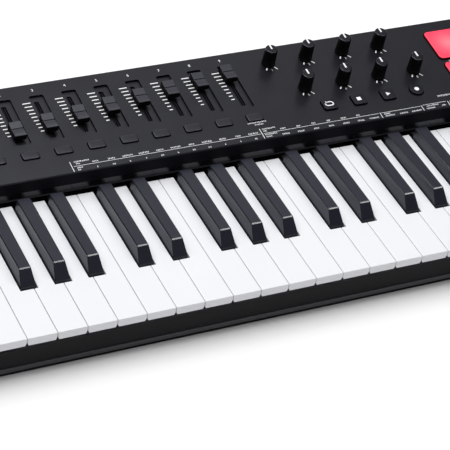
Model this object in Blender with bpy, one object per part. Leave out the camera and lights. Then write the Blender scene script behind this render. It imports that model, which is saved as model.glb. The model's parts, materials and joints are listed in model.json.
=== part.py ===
"""49-note controller keyboard: a plastic case with a sloped control panel,
moulded key combs hinged at the rear, sliding fader caps, rotary knobs,
push buttons, a sheet of drum pads, two thumb wheels and rear connectors.

Frame: metres, +Z up, +X along the keyboard towards the high notes, +Y towards
the rear.  The origin is the centre of the footprint at the height of the
surface that the feet stand on.
"""
import bpy
import bmesh
import math
from mathutils import Vector, Matrix

MM = 0.001

# ------------------------------------------------------------------ sizes, mm
HALF_W = 400.0            # half of the overall width
FRONT_Y = -127.2          # front of the key lips and end cheeks
REAR_Y = 127.2            # rear wall
WALL = 2.5                # moulded wall thickness
SPLIT_Z = 7.9             # joint line between top housing and bottom tray
TRAY_Z0, TRAY_Z1 = 3.2, 7.6
FOOT_H = 2.9

KEY_TOP = 36.5            # white key surface
PITCH = 23.5              # white key pitch
OCT = 7 * PITCH
KEYS_X0 = -295.5          # left edge of the lowest C
N_OCT = 4
KEY_GAP = 0.7
LIP_H = 7.1
LIP_T = 2.5
PLATE_T = 2.5
SHARP_FRONT_Y = -77.2     # front of the notches between the white keys
NOTCH_HALF = 7.0
SHARP_BASE_HALF = 6.1
SHARP_TOP_HALF_F = 4.6
SHARP_TOP_HALF_R = 5.6
SHARP_H = 11.0
SHARP_H_R = 10.2
SHARP_OFFSET = {"Cs": -2.6, "Ds": 2.4, "Fs": -3.6, "Gs": 0.0, "As": 3.6}
SHARP_AFTER = {"Cs": 1, "Ds": 2, "Fs": 4, "Gs": 5, "As": 6}   # in whole white keys
HINGE_Y = 62.0            # rear hinge line of the key combs
SPINE_HALF = 4.0          # half depth of a comb's rear spine
SPINE_Z = {"lower": (21.5, 25.0), "upper": (26.2, 29.7), "sharp": (30.9, 34.4)}
TAIL_Y0 = 17.8            # where the playing plate turns into the tail

SLOPE = 0.118             # rise of the control panel per unit of depth
PANEL_Y0 = 21.8           # front edge of the control panel
PANEL_Z0 = 55.387         # height of that edge
PANEL_T = 2.5
THETA = math.atan(SLOPE)

WELL_X0, WELL_X1 = -296.6, 387.1      # key well
RAIL_FRONT_Y, RAIL_BACK_Y, RAIL_TOP = -123.7, -121.2, 24.0
FASCIA_Z = 38.3

N_FADERS = 9
FADER_X1 = -189.25
FADER_PITCH = 28.025
FADER_SLOT_DX = -0.75
FADER_LOW_Y, FADER_HIGH_Y = 70.7, 100.9
FADER_REST_Y1, FADER_REST_DY = 70.9, 3.72
FADER_BTN_Y = 47.3
KNOB_ROWS = ((107.0, (75.8, 111.2, 146.6, 181.7)),
             (71.6, (94.0, 129.6, 164.7, 199.6)))
KNOB_R, KNOB_H0, KNOB_H1 = 5.7, 0.5, 16.6
TRANSPORT_X = (105.5, 133.8, 162.0, 190.2)
TRANSPORT_Y = 47.6
PAD_X0, PAD_PITCH, PAD_SIZE = 248.1, 40.0, 35.2      # centre of the first column
PAD_ROWS_Y = (55.6, 95.4)
DISPLAY_X, DISPLAY_Y, DISPLAY_W, DISPLAY_D = -330.0, 94.0, 46.0, 22.0
ENCODER_X, ENCODER_Y, ENCODER_R = -268.0, 94.0, 8.0
OCTAVE_X, OCTAVE_Y, OCTAVE_W, OCTAVE_D = -330.0, 48.0, 30.0, 9.0
WHEEL_R, WHEEL_W = 18.5, 13.0
WHEEL_Y, WHEEL_Z = -62.0, 26.8
WHEEL_X = (-370.0, -330.0)
WHEEL_SLOT_HALF_Y = 16.8
BLOCK_Z_FRONT, BLOCK_Z_REAR = 38.0, 40.5

USB_X, USB_Z, USB_W, USB_H, USB_DEPTH = 330.0, 24.0, 12.0, 11.0, 16.0
FLANGE_HALF, FLANGE_TOP = 25.6, 37.6          # plate round the socket, in a notch of the rear wall
FLANGE_T = 2.3
POWER_X, POWER_Z, POWER_W, POWER_H = 290.0, 24.0, 13.0, 9.0

KEYS_X1 = KEYS_X0 + N_OCT * OCT + PITCH


# --------------------------------------------------------------- small tools
def clear_scene():
    for ob in list(bpy.data.objects):
        bpy.data.objects.remove(ob, do_unlink=True)
    for me in list(bpy.data.meshes):
        bpy.data.meshes.remove(me)


def make_material(name, colour, roughness, metallic=0.0, emission=None):
    mat = bpy.data.materials.new(name)
    mat.use_nodes = True
    bsdf = mat.node_tree.nodes["Principled BSDF"]
    bsdf.inputs["Base Color"].default_value = (*colour, 1.0)
    bsdf.inputs["Roughness"].default_value = roughness
    bsdf.inputs["Metallic"].default_value = metallic
    if emission:
        bsdf.inputs["Emission Color"].default_value = (*emission, 1.0)
        bsdf.inputs["Emission Strength"].default_value = 1.0
    mat.diffuse_color = (*colour, 1.0)
    return mat


def loft(rings):
    """Closed body through rings of equal point count, capped at both ends."""
    bm = bmesh.new()
    loops = [[bm.verts.new(Vector(p) * MM) for p in ring] for ring in rings]
    n = len(loops[0])
    for a, b in zip(loops[:-1], loops[1:]):
        for i in range(n):
            j = (i + 1) % n
            bm.faces.new((a[i], a[j], b[j], b[i]))
    bm.faces.new(list(reversed(loops[0])))
    bm.faces.new(loops[-1])
    bmesh.ops.recalc_face_normals(bm, faces=bm.faces)
    return bm


def prism_x(profile, x0, x1):
    return loft([[(x, y, z) for y, z in profile] for x in (x0, x1)])


def prism_z(outline, z0, z1):
    return loft([[(x, y, z) for x, y in outline] for z in (z0, z1)])


def box(x0, x1, y0, y1, z0, z1):
    return prism_z([(x0, y0), (x1, y0), (x1, y1), (x0, y1)], z0, z1)


def rounded_rect(w, d, r, seg=3, cx=0.0, cy=0.0):
    pts = []
    for k, (sx, sy) in enumerate(((1, 1), (-1, 1), (-1, -1), (1, -1))):
        ox, oy = cx + sx * (w / 2 - r), cy + sy * (d / 2 - r)
        for i in range(seg + 1):
            a = math.radians(90 * k + 90 * i / seg)
            pts.append((ox + r * math.cos(a), oy + r * math.sin(a)))
    return pts


def circle(r, n, cx=0.0, cy=0.0, phase=0.0):
    return [(cx + r * math.cos(2 * math.pi * i / n + phase),
             cy + r * math.sin(2 * math.pi * i / n + phase)) for i in range(n)]


def panel_z(y):
    return PANEL_Z0 + SLOPE * (y - PANEL_Y0)


def panel_frame(x, y):
    """Axes on the panel surface at plan position x, y: +X, up the slope, normal."""
    c, s = math.cos(THETA), math.sin(THETA)
    m = Matrix(((1, 0, 0, x * MM), (0, c, -s, y * MM), (0, s, c, panel_z(y) * MM), (0, 0, 0, 1)))
    return m


def block_z(y):
    """Height of the end blocks' top in front of the control panel."""
    t = (y - (FRONT_Y + 4.2)) / (PANEL_Y0 - (FRONT_Y + 4.2))
    return BLOCK_Z_FRONT + (BLOCK_Z_REAR - BLOCK_Z_FRONT) * t


def moved(bm, matrix):
    bmesh.ops.transform(bm, matrix=matrix, verts=bm.verts)
    return bm


def merged(parts):
    """One mesh holding several bodies that do not touch, for use as a cutter."""
    out = bmesh.new()
    for bm in parts:
        me = bpy.data.meshes.new("tmp")
        bm.to_mesh(me)
        bm.free()
        out.from_mesh(me)
        bpy.data.meshes.remove(me)
    return out


def add_object(name, bm, material=None, origin=None, smooth_deg=None):
    """Link a mesh as an object; origin (a matrix) becomes its placement."""
    if origin is not None:
        bmesh.ops.transform(bm, matrix=origin.inverted(), verts=bm.verts)
    me = bpy.data.meshes.new(name)
    bm.to_mesh(me)
    bm.free()
    ob = bpy.data.objects.new(name, me)
    bpy.context.scene.collection.objects.link(ob)
    if material is not None:
        me.materials.append(material)
    if origin is not None:
        ob.matrix_world = origin
    if smooth_deg is not None:
        me.shade_smooth()
        me.set_sharp_from_angle(angle=math.radians(smooth_deg))
    return ob


def boolean(ob, bm, operation):
    """Cut from or add to an object, keeping only the resulting mesh."""
    cutter = add_object("cutter", bm)
    cutter.hide_render = True
    cutter.display_type = 'WIRE'
    mod = ob.modifiers.new("bool", 'BOOLEAN')
    mod.operation = operation
    mod.solver = 'EXACT'
    mod.object = cutter
    bpy.context.view_layer.update()
    dg = bpy.context.evaluated_depsgraph_get()
    me = bpy.data.meshes.new_from_object(ob.evaluated_get(dg))
    ob.modifiers.remove(mod)
    old = ob.data
    ob.data = me
    me.name = ob.name
    bpy.data.meshes.remove(old)
    bpy.data.objects.remove(cutter, do_unlink=True)


def place(x, y, z):
    return Matrix.Translation(Vector((x, y, z)) * MM)


# ----------------------------------------------------------------- materials
clear_scene()
M_CASE = make_material("case_black", (0.030, 0.030, 0.034), 0.55)
M_TRAY = make_material("tray_black", (0.040, 0.040, 0.044), 0.60)
M_WHITE = make_material("key_white", (0.88, 0.89, 0.92), 0.25)
M_BLACK = make_material("key_black", (0.045, 0.045, 0.055), 0.45)
M_CAP = make_material("cap_black", (0.035, 0.035, 0.038), 0.50)
M_KNOB = make_material("knob_black", (0.012, 0.012, 0.013), 0.45)
M_BUTTON = make_material("button_grey", (0.045, 0.045, 0.050), 0.50)
M_PAD = make_material("pad_red", (0.95, 0.08, 0.14), 0.45, 0.0, (0.95, 0.08, 0.14))
M_RUBBER = make_material("rubber", (0.02, 0.02, 0.02), 0.85)
M_BOARD = make_material("board_green", (0.03, 0.16, 0.08), 0.40)
M_STEEL = make_material("steel", (0.55, 0.55, 0.56), 0.30, 1.0)
M_WINDOW = make_material("window", (0.01, 0.01, 0.012), 0.08)
M_WHEEL = make_material("wheel_rubber", (0.025, 0.025, 0.028), 0.65)


# --------------------------------------------------------------- top housing
def build_top_housing():
    outer = [(FRONT_Y, SPLIT_Z), (FRONT_Y, 34.0), (FRONT_Y + 1.2, 36.8), (FRONT_Y + 4.2, BLOCK_Z_FRONT),
             (PANEL_Y0, BLOCK_Z_REAR), (PANEL_Y0, PANEL_Z0 - 0.8), (PANEL_Y0 + 0.8, panel_z(PANEL_Y0 + 0.8)),
             (REAR_Y - 1.2, panel_z(REAR_Y - 1.2)), (REAR_Y, panel_z(REAR_Y) - 1.4), (REAR_Y, SPLIT_Z)]
    ob = add_object("top_housing", prism_x(outer, -HALF_W, HALF_W), M_CASE)
    roof_f, roof_r = PANEL_Y0 + WALL, REAR_Y - WALL
    mid = [(-140, -5), (RAIL_FRONT_Y, -5), (RAIL_FRONT_Y, RAIL_TOP), (RAIL_BACK_Y, RAIL_TOP), (RAIL_BACK_Y, -5),
           (roof_r, -5), (roof_r, panel_z(roof_r) - PANEL_T), (roof_f, panel_z(roof_f) - PANEL_T),
           (roof_f, FASCIA_Z), (PANEL_Y0 - 0.9, FASCIA_Z), (PANEL_Y0, FASCIA_Z + 0.9), (PANEL_Y0, 90), (-140, 90)]
    boolean(ob, prism_x(mid, WELL_X0, WELL_X1), 'DIFFERENCE')
    fy = FRONT_Y + WALL
    side = [(fy, -5), (fy, 33.0), (fy + 1.9, BLOCK_Z_FRONT - WALL), (roof_f, BLOCK_Z_REAR - WALL),
            (roof_f, panel_z(roof_f) - PANEL_T), (roof_r, panel_z(roof_r) - PANEL_T), (roof_r, -5)]
    boolean(ob, merged([prism_x(side, -HALF_W + WALL, WELL_X0 - WALL),
                        prism_x(side, WELL_X1 + WALL, HALF_W - WALL)]), 'DIFFERENCE')

    # shallow troughs around the fader slots
    first = []
    for i in range(N_FADERS):
        x = FADER_X1 + i * FADER_PITCH
        y0, y1 = 60.6, 112.4
        m = panel_frame(x + 0.85, (y0 + y1) / 2)
        first.append(moved(prism_z(rounded_rect(12.5, (y1 - y0) / math.cos(THETA), 1.5, 2), -1.8, 2.0), m))
    for x, y, w, d, r in ([(FADER_X1 + 1.0 + i * FADER_PITCH, FADER_BTN_Y, 15.0, 9.2, 1.8) for i in range(N_FADERS)]
                          + [(x, TRANSPORT_Y, 13.4, 13.4, 2.4) for x in TRANSPORT_X[:3]]
                          + [(OCTAVE_X, OCTAVE_Y, OCTAVE_W + 1.0, OCTAVE_D + 0.8, 0.5)]
                          + [(DISPLAY_X, DISPLAY_Y, DISPLAY_W + 0.6, DISPLAY_D + 0.6, 1.2)]
                          + [(PAD_X0 + c * PAD_PITCH, y, PAD_SIZE + 0.8, PAD_SIZE + 0.8, 3.4)
                             for y in PAD_ROWS_Y for c in range(4)]):
        first.append(moved(prism_z(rounded_rect(w, d, r, 2), -6.0, 2.0), panel_frame(x, y)))
    for x, y, r in ([(x, y, 3.7) for y, xs in KNOB_ROWS for x in xs]
                    + [(TRANSPORT_X[3], TRANSPORT_Y, 6.9), (ENCODER_X, ENCODER_Y, 3.7)]):
        first.append(moved(prism_z(circle(r, 20), -6.0, 2.0), panel_frame(x, y)))
    for x in WHEEL_X:
        zc = block_z(WHEEL_Y)
        first.append(box(x - WHEEL_W / 2 - 0.8, x + WHEEL_W / 2 + 0.8,
                         WHEEL_Y - WHEEL_SLOT_HALF_Y, WHEEL_Y + WHEEL_SLOT_HALF_Y, zc - 6, zc + 6))
    first.append(box(USB_X - FLANGE_HALF - 0.4, USB_X + FLANGE_HALF + 0.4, REAR_Y - 6, REAR_Y + 6,
                     SPLIT_Z - 4, FLANGE_TOP + 0.4))
    first.append(box(POWER_X - POWER_W / 2 - 0.5, POWER_X + POWER_W / 2 + 0.5, REAR_Y - 6, REAR_Y + 6,
                     POWER_Z - POWER_H / 2 - 0.5, POWER_Z + POWER_H / 2 + 0.5))
    boolean(ob, merged(first), 'DIFFERENCE')

    slots = []
    for i in range(N_FADERS):
        x = FADER_X1 + FADER_SLOT_DX + i * FADER_PITCH
        y0, y1 = FADER_LOW_Y - 5.9, FADER_HIGH_Y + 5.9
        slots.append(moved(prism_z(rounded_rect(4.2, (y1 - y0) / math.cos(THETA), 0.8, 1), -6.0, 2.0),
                           panel_frame(x, (y0 + y1) / 2)))
    boolean(ob, merged(slots), 'DIFFERENCE')
    return ob


# --------------------------------------------------------------- bottom tray
def build_bottom_tray():
    x1 = HALF_W - 0.4
    # the tray's rim shows as a narrow band under the rail, with a low rib below it
    prof = [(RAIL_FRONT_Y + 4.0, TRAY_Z0), (RAIL_FRONT_Y + 4.0, 0.5), (RAIL_FRONT_Y - 0.1, 0.5),
            (RAIL_FRONT_Y - 0.1, 2.9), (RAIL_FRONT_Y - 0.6, 3.2), (RAIL_FRONT_Y - 0.6, TRAY_Z1),
            (RAIL_BACK_Y + 1.5, TRAY_Z1), (RAIL_BACK_Y + 1.5, TRAY_Z0 + 2.4),
            (REAR_Y - 4.0, TRAY_Z0 + 2.4), (REAR_Y - 4.0, TRAY_Z1), (REAR_Y - 0.4, TRAY_Z1),
            (REAR_Y - 0.4, TRAY_Z0 + 2.4), (REAR_Y - 2.4, TRAY_Z0)]
    ob = add_object("bottom_tray", prism_x(prof, -x1, x1), M_TRAY)
    # wide flat-bottomed channels underneath stiffen the floor; feet sit in shallow seats
    seats = [moved(prism_z(circle(8.6, 20), TRAY_Z0 - 1.0, TRAY_Z0 + 0.8), place(x, y, 0))
             for x in (-352.0, 352.0) for y in (-100.0, 104.0)]
    boolean(ob, merged(seats), 'DIFFERENCE')
    return ob


# ---------------------------------------------------------- keybed structure
def build_keybed_chassis():
    x0, x1 = WELL_X0 + 0.6, WELL_X1 - 0.6
    # one folded plate: floor on the tray, front stop shelf, rear hinge wall
    floor0, floor1 = TRAY_Z0 + 2.7, TRAY_Z0 + 4.7
    prof = [(-112.0, floor0), (72.0, floor0), (72.0, 37.5), (68.0, 37.5), (68.0, floor1 + 6.0),
            (52.0, floor1 + 6.0), (52.0, floor1), (-98.0, floor1), (-98.0, 16.0), (-112.0, 16.0)]
    return add_object("keybed_chassis", prism_x(prof, x0, x1), M_STEEL)


def build_contact_strip():
    x0, x1 = WELL_X0 + 6.0, WELL_X1 - 6.0
    z = TRAY_Z0 + 5.0
    prof = [(-40.0, z), (-12.0, z), (-12.0, z + 1.6), (-20.0, z + 1.6), (-22.0, z + 4.6), (-30.0, z + 4.6),
            (-32.0, z + 1.6), (-40.0, z + 1.6)]
    return add_object("key_contact_strip", prism_x(prof, x0, x1), M_RUBBER)


def build_main_board():
    # sloped circuit board hung under the control panel
    c = [(-284.0, -8.0), (376.0, -8.0), (376.0, 33.0), (-284.0, 33.0)]
    y_mid = 88.0
    return add_object("main_board", moved(prism_z([(x, y) for x, y in c], -14.6, -13.0), panel_frame(0.0, y_mid)),
                      M_BOARD)


# ----------------------------------------------------------------- key combs
def sharp_centre(octave, name):
    return KEYS_X0 + octave * OCT + SHARP_AFTER[name] * PITCH + SHARP_OFFSET[name]


def white_outline(octave, index, top_c=False):
    """Plan outline of a white key; index 0..6 is C..B; the tail is added apart."""
    x0 = KEYS_X0 + octave * OCT + index * PITCH + KEY_GAP / 2
    x1 = x0 + PITCH - KEY_GAP
    left = {1: "Cs", 2: "Ds", 4: "Fs", 5: "Gs", 6: "As"}.get(index)
    right = {0: "Cs", 1: "Ds", 3: "Fs", 4: "Gs", 5: "As"}.get(index)
    if top_c:
        right = None
    pts = [(x0, FRONT_Y), (x1, FRONT_Y)]
    xl, xr = x0, x1
    if right:
        xr = sharp_centre(octave, right) - NOTCH_HALF
        pts += [(x1, SHARP_FRONT_Y), (xr, SHARP_FRONT_Y)]
    pts += [(xr, TAIL_Y0)]
    if left:
        xl = sharp_centre(octave, left) + NOTCH_HALF
    pts += [(xl, TAIL_Y0)]
    if left:
        pts += [(xl, SHARP_FRONT_Y), (x0, SHARP_FRONT_Y)]
    return pts, x0, x1, xl, xr


def build_natural_comb(name, octave, indices, level, top_c=False):
    """White keys moulded on one rear spine, which carries the hinge."""
    z0, z1 = SPINE_Z[level]
    hinge = place(KEYS_X0 + octave * OCT, HINGE_Y, (z0 + z1) / 2)
    spans = []
    ob = None
    for index in indices:
        pts, x0, x1, xl, xr = white_outline(octave, index, top_c)
        xc = (xl + xr) / 2
        plate = prism_z(pts, KEY_TOP - PLATE_T, KEY_TOP)
        if ob is None:
            ob = add_object(name, plate, M_WHITE)
        else:
            boolean(ob, plate, 'UNION')
        # front lip
        boolean(ob, box(x0, x1, FRONT_Y, FRONT_Y + LIP_T, KEY_TOP - LIP_H, KEY_TOP - 1.0), 'UNION')
        # tail rib that steps down to the spine, passing its neighbours' spines
        zt0, zt1 = z0 + 0.2, z1 - 0.2
        half = 3.0
        rib = [(-86.0, KEY_TOP - 1.0), (-86.0, 33.0 - 3.4), (-60.0, 33.0 - 6.0), (36.0, 33.0 - 7.6),
               (46.0, zt0), (HINGE_Y, zt0), (HINGE_Y, zt1), (46.0, zt1), (TAIL_Y0 - 1.5, KEY_TOP - 1.0)]
        if level == "upper":
            rib[4] = (44.0, zt0)
        boolean(ob, prism_x(rib, xc - half, xc + half), 'UNION')
        spans += [xc - half, xc + half]
    e0, e1 = min(spans) - 1.5, max(spans) + 1.5
    boolean(ob, box(e0, e1, HINGE_Y - SPINE_HALF, HINGE_Y + SPINE_HALF, z0, z1), 'UNION')
    ob.data.transform(hinge.inverted())
    ob.matrix_world = hinge
    return ob


def build_sharp_comb(name, octave):
    """Black keys moulded on one rear spine above the white keys' spines."""
    z0, z1 = SPINE_Z["sharp"]
    hinge = place(KEYS_X0 + octave * OCT, HINGE_Y, (z0 + z1) / 2)
    ob = None
    spans = []
    for key in ("Cs", "Ds", "Fs", "Gs", "As"):
        xc = sharp_centre(octave, key)
        yf, yr = SHARP_FRONT_Y + 2.0, 12.8
        zt = KEY_TOP
        rings = [
            [(xc - SHARP_BASE_HALF, yf, zt - 7.0), (xc + SHARP_BASE_HALF, yf, zt - 7.0),
             (xc + SHARP_BASE_HALF, yr, zt - 7.0), (xc - SHARP_BASE_HALF, yr, zt - 7.0)],
            [(xc - SHARP_BASE_HALF, yf, zt), (xc + SHARP_BASE_HALF, yf, zt),
             (xc + SHARP_BASE_HALF, yr, zt), (xc - SHARP_BASE_HALF, yr, zt)],
            [(xc - SHARP_TOP_HALF_F, yf + 10.0, zt + SHARP_H), (xc + SHARP_TOP_HALF_F, yf + 10.0, zt + SHARP_H),
             (xc + SHARP_TOP_HALF_R, yr, zt + SHARP_H_R), (xc - SHARP_TOP_HALF_R, yr, zt + SHARP_H_R)],
        ]
        body = loft(rings)
        if ob is None:
            ob = add_object(name, body, M_BLACK)
        else:
            boolean(ob, body, 'UNION')
        half = 2.6
        rib = [(-40.0, zt - 6.0), (-40.0, zt - 9.4), (30.0, zt - 9.4), (46.0, z0 + 0.2), (HINGE_Y, z0 + 0.2),
               (HINGE_Y, z1 - 0.2), (TAIL_Y0, z1 + 1.2), (TAIL_Y0 - 8.0, zt - 1.2)]
        boolean(ob, prism_x(rib, xc - half, xc + half), 'UNION')
        spans += [xc - half, xc + half]
    boolean(ob, box(min(spans) - 1.5, max(spans) + 1.5, HINGE_Y - SPINE_HALF, HINGE_Y + SPINE_HALF, z0, z1), 'UNION')
    ob.data.transform(hinge.inverted())
    ob.matrix_world = hinge
    return ob


# ------------------------------------------------------- controls on the panel
def build_fader(i):
    x = FADER_X1 + FADER_SLOT_DX + i * FADER_PITCH
    y = FADER_REST_Y1 + FADER_REST_DY * i
    m = panel_frame(x, y)
    # shallow dish along the slope, split by a finger groove
    prof = [(-9.2, 0.6), (7.4, 0.6), (7.4, 5.2), (6.9, 5.8), (0.1, 5.0), (-0.5, 4.2), (-1.1, 5.0), (-8.7, 5.9), (-9.2, 5.3)]
    cap = prism_x(prof, -5.25, 5.25)
    ob = add_object("fader_cap_%d" % (i + 1), moved(cap, m), M_CAP)
    boolean(ob, moved(box(-1.2, 1.2, -4.0, 4.0, -9.5, 1.4), m), 'UNION')
    ob.data.transform(m.inverted())
    ob.matrix_world = m
    return ob


def build_knob(name, x, y):
    m = panel_frame(x, y)
    n = 24
    rings = []
    for r, h in ((3.0, -11.0), (3.0, KNOB_H0), (KNOB_R + 0.3, KNOB_H0), (KNOB_R + 0.1, 3.0), (KNOB_R, KNOB_H1 - 0.7),
                 (KNOB_R - 0.7, KNOB_H1)):
        rings.append([(cx, cy, h) for cx, cy in circle(r, n)])
    return add_object(name, moved(loft(rings), m), M_KNOB, m, 35)


def build_button(name, x, y, w, d, r, top, material, round_n=0):
    """Push button: a cap above the panel, a stem below it, moving along the normal."""
    m = panel_frame(x, y)
    if round_n:
        rings = [[(cx, cy, h) for cx, cy in circle(rr, round_n)] for rr, h in
                 ((w / 2 - 1.0, -9.0), (w / 2, -9.0), (w / 2, top - 0.6), (w / 2 - 0.6, top))]
        rings = rings[1:]
    else:
        rings = [[(cx, cy, h) for cx, cy in rounded_rect(w - 2 * s, d - 2 * s, max(r - s, 0.5), 3)]
                 for s, h in ((0.0, -9.0), (0.0, top - 0.5), (0.5, top))]
    return add_object(name, moved(loft(rings), m), material, m)


def build_pad_mat():
    """One moulded silicone sheet with eight raised pads."""
    cx = PAD_X0 + 1.5 * PAD_PITCH
    cy = sum(PAD_ROWS_Y) / 2
    m = panel_frame(cx, cy)
    w, d = 3 * PAD_PITCH + PAD_SIZE + 1.4, (PAD_ROWS_Y[1] - PAD_ROWS_Y[0]) / math.cos(THETA) + PAD_SIZE + 3.0
    ob = add_object("pad_mat", moved(prism_z(rounded_rect(w, d, 3.0, 2), -6.4, -4.4), m), M_PAD)
    pads = []
    for y in PAD_ROWS_Y:
        for c in range(4):
            pm = panel_frame(PAD_X0 + c * PAD_PITCH, y)
            rings = [[(px, py, h) for px, py in rounded_rect(PAD_SIZE - 2 * s, PAD_SIZE - 2 * s, 3.0 - s, 3)]
                     for s, h in ((0.0, -5.4), (0.0, 1.3), (0.8, 2.0))]
            pads.append(moved(loft(rings), pm))
    boolean(ob, merged(pads), 'UNION')
    ob.data.transform(m.inverted())
    ob.matrix_world = m
    return ob


def build_wheel(name, x):
    n = 40
    m = place(x, WHEEL_Y, WHEEL_Z) @ Matrix.Rotation(math.radians(90), 4, 'Y')
    rings = []
    for r, h in ((WHEEL_R - 0.8, -WHEEL_W / 2), (WHEEL_R, -WHEEL_W / 2 + 0.8), (WHEEL_R, WHEEL_W / 2 - 0.8),
                 (WHEEL_R - 0.8, WHEEL_W / 2)):
        rings.append([(cx, cy, h) for cx, cy in circle(r, n, phase=math.pi / n)])
    hub = Matrix(((1, 0, 0, x * MM), (0, 1, 0, WHEEL_Y * MM), (0, 0, 1, WHEEL_Z * MM), (0, 0, 0, 1)))
    ob = add_object(name, moved(loft(rings), m), M_WHEEL, None)
    # thumb notch on the crown and an axle stub hole
    notch = box(x - WHEEL_W / 2 - 1, x + WHEEL_W / 2 + 1, WHEEL_Y - 2.2, WHEEL_Y + 2.2,
                WHEEL_Z + WHEEL_R - 1.6, WHEEL_Z + WHEEL_R + 3)
    boolean(ob, notch, 'DIFFERENCE')
    ob.data.transform(hub.inverted())
    ob.matrix_world = hub
    ob.data.shade_smooth()
    ob.data.set_sharp_from_angle(angle=math.radians(35))
    return ob


def build_octave_rocker():
    m = panel_frame(OCTAVE_X, OCTAVE_Y)
    w, d = OCTAVE_W, OCTAVE_D
    prof = [(-w / 2, -2.0), (-w / 2 + 4.0, -5.0), (w / 2 - 4.0, -5.0), (w / 2, -2.0), (w / 2, 2.0), (w / 2 - 0.8, 2.6),
            (0.0, 1.9), (-w / 2 + 0.8, 2.6), (-w / 2, 2.0)]
    bm = loft([[(px, y, h) for px, h in prof] for y in (-d / 2, d / 2)])
    return add_object("octave_rocker", moved(bm, m), M_BUTTON, m)


def build_display_window():
    m = panel_frame(DISPLAY_X, DISPLAY_Y)
    rings = [[(cx, cy, h) for cx, cy in rounded_rect(DISPLAY_W - 2 * s, DISPLAY_D - 2 * s, 1.2, 2)]
             for s, h in ((0.0, -3.2), (0.0, -0.5), (0.3, -0.2))]
    return add_object("display_window", moved(loft(rings), m), M_WINDOW, m)


def build_encoder():
    m = panel_frame(ENCODER_X, ENCODER_Y)
    n = 28
    rings = [[(cx, cy, h) for cx, cy in circle(r, n)] for r, h in
             ((3.0, -11.0), (3.0, 0.5), (ENCODER_R, 0.5), (ENCODER_R - 0.3, 11.0), (ENCODER_R - 1.1, 11.8))]
    return add_object("encoder_knob", moved(loft(rings), m), M_KNOB, m, 35)


def build_power_switch():
    m = place(POWER_X, REAR_Y, POWER_Z)
    w, h = POWER_W, POWER_H
    prof = [(-w / 2, -5.0), (w / 2, -5.0), (w / 2, -0.4), (w / 2 - 0.5, 0.2), (0.0, -1.4), (-w / 2 + 0.5, 0.2),
            (-w / 2, -0.4)]
    bm = loft([[(px, py, z) for px, py in prof] for z in (-h / 2, h / 2)])
    return add_object("power_switch", moved(bm, m), M_CAP, place(POWER_X, REAR_Y - 3.0, POWER_Z))


def build_usb_socket():
    """Steel socket shell on a flange plate that closes the notch in the rear wall."""
    x, z, y1 = USB_X, USB_Z, REAR_Y
    ob = add_object("usb_socket", box(x - FLANGE_HALF, x + FLANGE_HALF, y1 - FLANGE_T, y1, SPLIT_Z + 0.3, FLANGE_TOP),
                    M_STEEL)
    boolean(ob, box(x - USB_W / 2, x + USB_W / 2, y1 - USB_DEPTH, y1 - 0.8, z - USB_H / 2, z + USB_H / 2), 'UNION')
    hollow = [(x - 4.6, z - 4.2), (x + 4.6, z - 4.2), (x + 4.6, z + 2.4), (x + 2.8, z + 4.2), (x - 2.8, z + 4.2),
              (x - 4.6, z + 2.4)]
    boolean(ob, loft([[(px, y, pz) for px, pz in hollow] for y in (y1 - 12.0, y1 + 2.0)]), 'DIFFERENCE')
    return ob


def build_foot(name, x, y):
    rings = [[(cx, cy, h) for cx, cy in circle(r, 20)] for r, h in
             ((7.2, 0.0), (8.0, 0.8), (8.0, TRAY_Z0 + 0.5))]
    return add_object(name, moved(loft(rings), place(x, y, 0)), M_RUBBER, None, 40)


# ----------------------------------------------------------------- the object
build_top_housing()
build_bottom_tray()
build_keybed_chassis()
build_contact_strip()
build_main_board()
for o in range(N_OCT):
    build_natural_comb("white_keys_cegb_%d" % (o + 1), o, (0, 2, 4, 6), "lower")
    build_natural_comb("white_keys_dfa_%d" % (o + 1), o, (1, 3, 5), "upper")
    build_sharp_comb("black_keys_%d" % (o + 1), o)
build_natural_comb("top_c_key", N_OCT, (0,), "lower", True)
for i in range(N_FADERS):
    build_fader(i)
    build_button("fader_button_%d" % (i + 1), FADER_X1 + 1.0 + i * FADER_PITCH, FADER_BTN_Y, 13.8, 8.0, 1.4, 1.3,
                 M_BUTTON)
k = 0
for row_y, row_x in KNOB_ROWS:
    for kx in row_x:
        k += 1
        build_knob("knob_%d" % k, kx, row_y)
for nm, tx in zip(("loop_button", "stop_button", "play_button"), TRANSPORT_X):
    build_button(nm, tx, TRANSPORT_Y, 12.2, 12.2, 1.8, 1.7, M_BUTTON)
build_button("record_button", TRANSPORT_X[3], TRANSPORT_Y, 12.6, 12.6, 0, 1.7, M_BUTTON, 24)
build_pad_mat()
build_wheel("pitch_wheel", WHEEL_X[0])
build_wheel("mod_wheel", WHEEL_X[1])
build_octave_rocker()
build_display_window()
build_encoder()
build_power_switch()
build_usb_socket()
for nm, fx, fy in (("foot_front_left", -352.0, -100.0), ("foot_front_right", 352.0, -100.0),
                   ("foot_rear_left", -352.0, 104.0), ("foot_rear_right", 352.0, 104.0)):
    build_foot(nm, fx, fy)
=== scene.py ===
"""Looks of the 49-note controller keyboard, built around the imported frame."""
import bpy
import bmesh
import json
import math
import random
from mathutils import Vector, Matrix


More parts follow.
